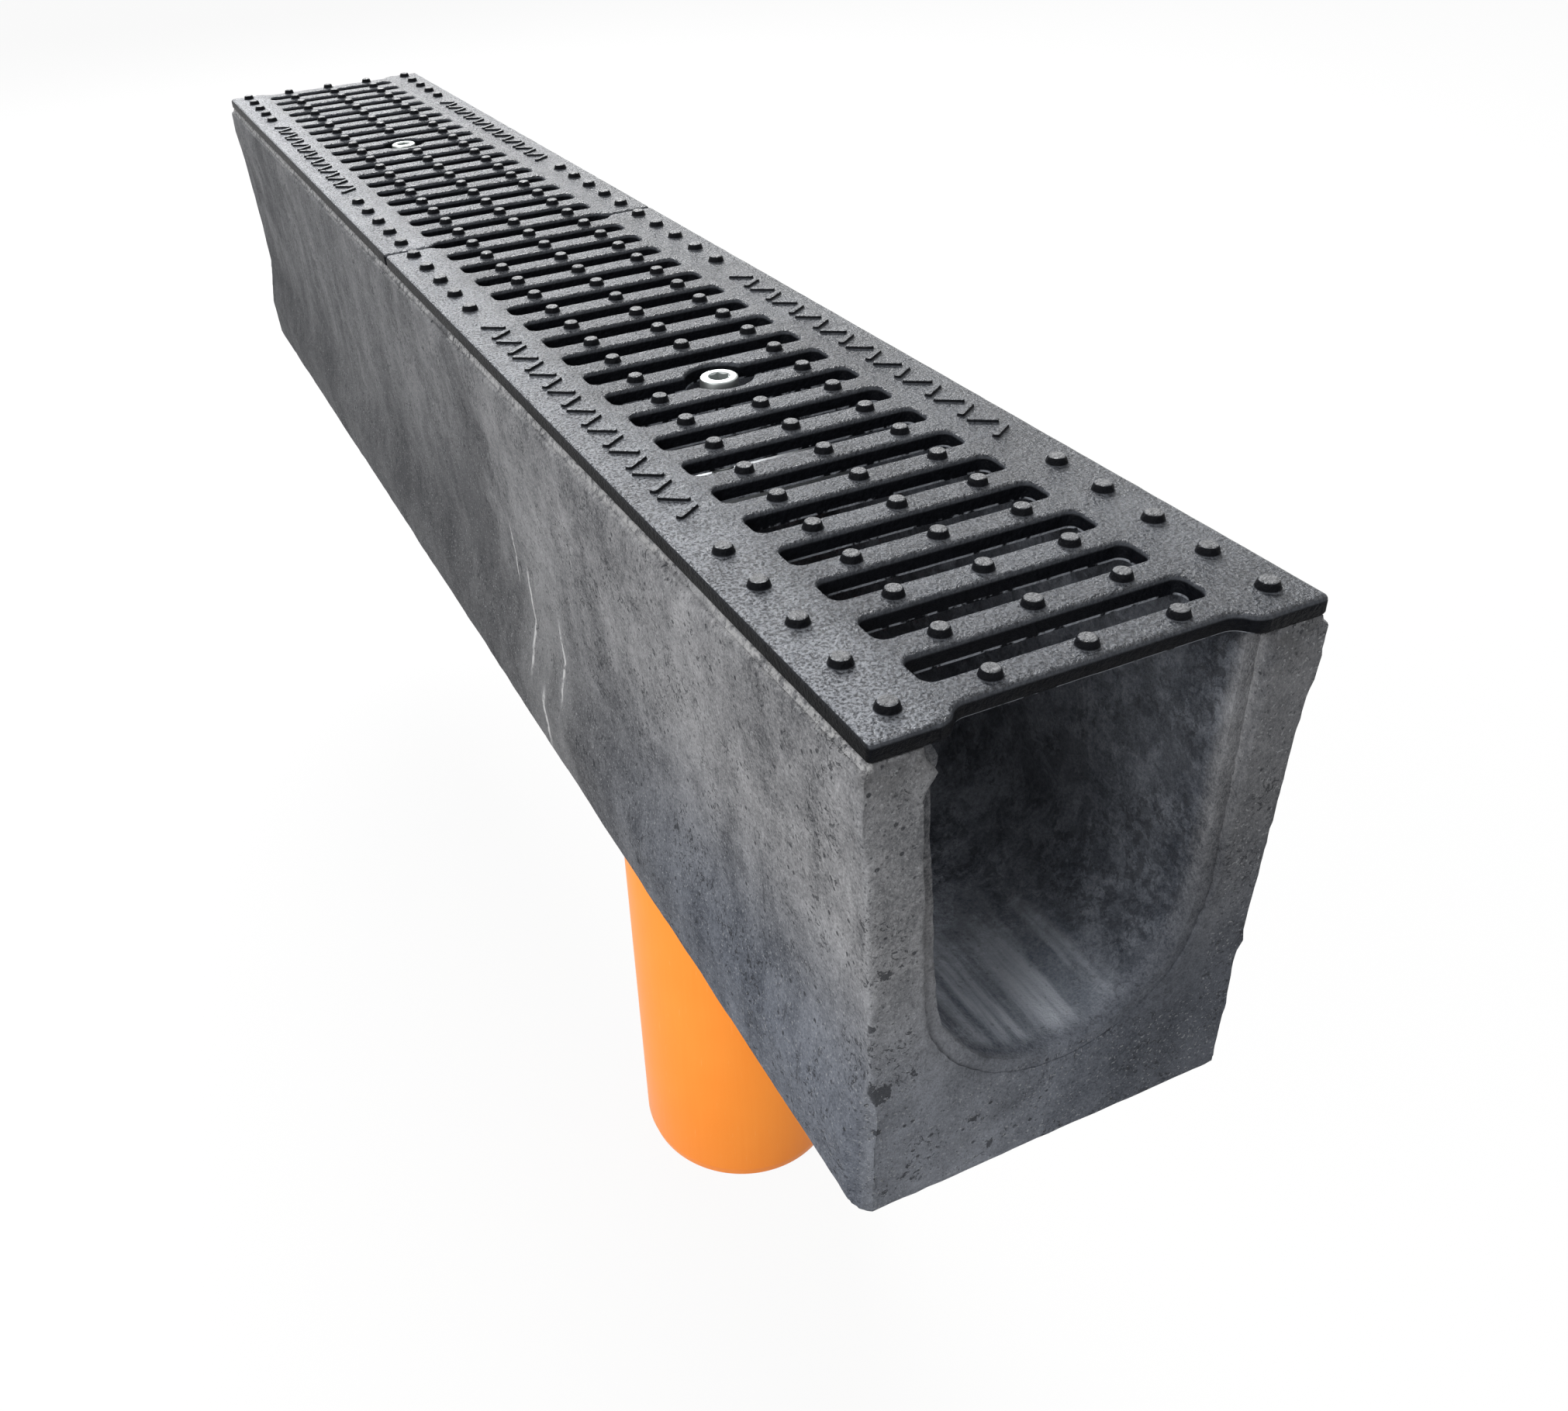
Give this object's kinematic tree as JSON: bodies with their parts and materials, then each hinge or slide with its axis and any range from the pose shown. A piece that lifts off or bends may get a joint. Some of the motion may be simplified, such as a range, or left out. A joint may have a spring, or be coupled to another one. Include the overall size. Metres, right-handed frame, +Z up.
{
  "type": "concrete channel drain",
  "caption": "Concrete drainage channel with a round invert, bolted slotted cast-iron grates and a plastic pipe hanging from its floor.",
  "frame": {"origin": "centre of the channel's underside", "axes": "+Y runs along the channel away from its rebated near end, +Z is up"},
  "size_m": [0.16, 1.006, 0.46],
  "materials": {
    "concrete": "matt grey concrete with pores",
    "cast_iron": "black dip-coated sand casting, satin",
    "bright_steel": "bright stainless",
    "zinc_steel": "zinc plated",
    "seal_rubber": "matt",
    "orange_plastic": "satin orange drain pipe"
  },
  "bodies": {
    "channel": {"channel_body": "concrete", "outlet_seal": "seal_rubber", "outlet_pipe": "orange_plastic"},
    "grate_near_lift": {"grate_near": "cast_iron"},
    "washer_near_ride": {"washer_near": "zinc_steel"},
    "bolt_near_screw": {"bolt_near": "bright_steel"},
    "lock_near_swing": {"lock_bar_near": "zinc_steel", "nut_near": "zinc_steel"},
    "grate_far_lift": {"grate_far": "cast_iron"},
    "washer_far_ride": {"washer_far": "zinc_steel"},
    "bolt_far_screw": {"bolt_far": "bright_steel"},
    "lock_far_swing": {"lock_bar_far": "zinc_steel", "nut_far": "zinc_steel"}
  },
  "joints": [
    {"name": "grate_near_lifts", "type": "slide", "parent": "channel", "child": "grate_near_lift", "axis": [0, 0, 1], "range_m": [0, 0.08]},
    {"name": "washer_near_rises", "type": "slide", "parent": "grate_near_lift", "child": "washer_near_ride", "axis": [0, 0, 1], "range_m": [0, 0.0075]},
    {"name": "bolt_near_turns", "type": "hinge", "parent": "washer_near_ride", "child": "bolt_near_screw", "pos_m": [0, -0.2505, 0.1865], "axis": [0, 0, 1], "range_deg": [0, 1800]},
    {"name": "lock_bar_near_swings", "type": "hinge", "parent": "channel", "child": "lock_near_swing", "pos_m": [0, -0.2505, 0.1437], "axis": [0, 0, 1], "range_deg": [0, 90]},
    {"name": "grate_far_lifts", "type": "slide", "parent": "channel", "child": "grate_far_lift", "axis": [0, 0, 1], "range_m": [0, 0.08]},
    {"name": "washer_far_rises", "type": "slide", "parent": "grate_far_lift", "child": "washer_far_ride", "axis": [0, 0, 1], "range_m": [0, 0.0075]},
    {"name": "bolt_far_turns", "type": "hinge", "parent": "washer_far_ride", "child": "bolt_far_screw", "pos_m": [0, 0.2505, 0.1865], "axis": [0, 0, 1], "range_deg": [0, 1800]},
    {"name": "lock_bar_far_swings", "type": "hinge", "parent": "channel", "child": "lock_far_swing", "pos_m": [0, 0.2505, 0.1437], "axis": [0, 0, 1], "range_deg": [0, 90]}
  ],
  "couplings": [
    {"joint": "bolt_near_turns", "follows": "washer_near_rises", "rad_per_m": 4188.8},
    {"joint": "bolt_far_turns", "follows": "washer_far_rises", "rad_per_m": 4188.8}
  ]
}
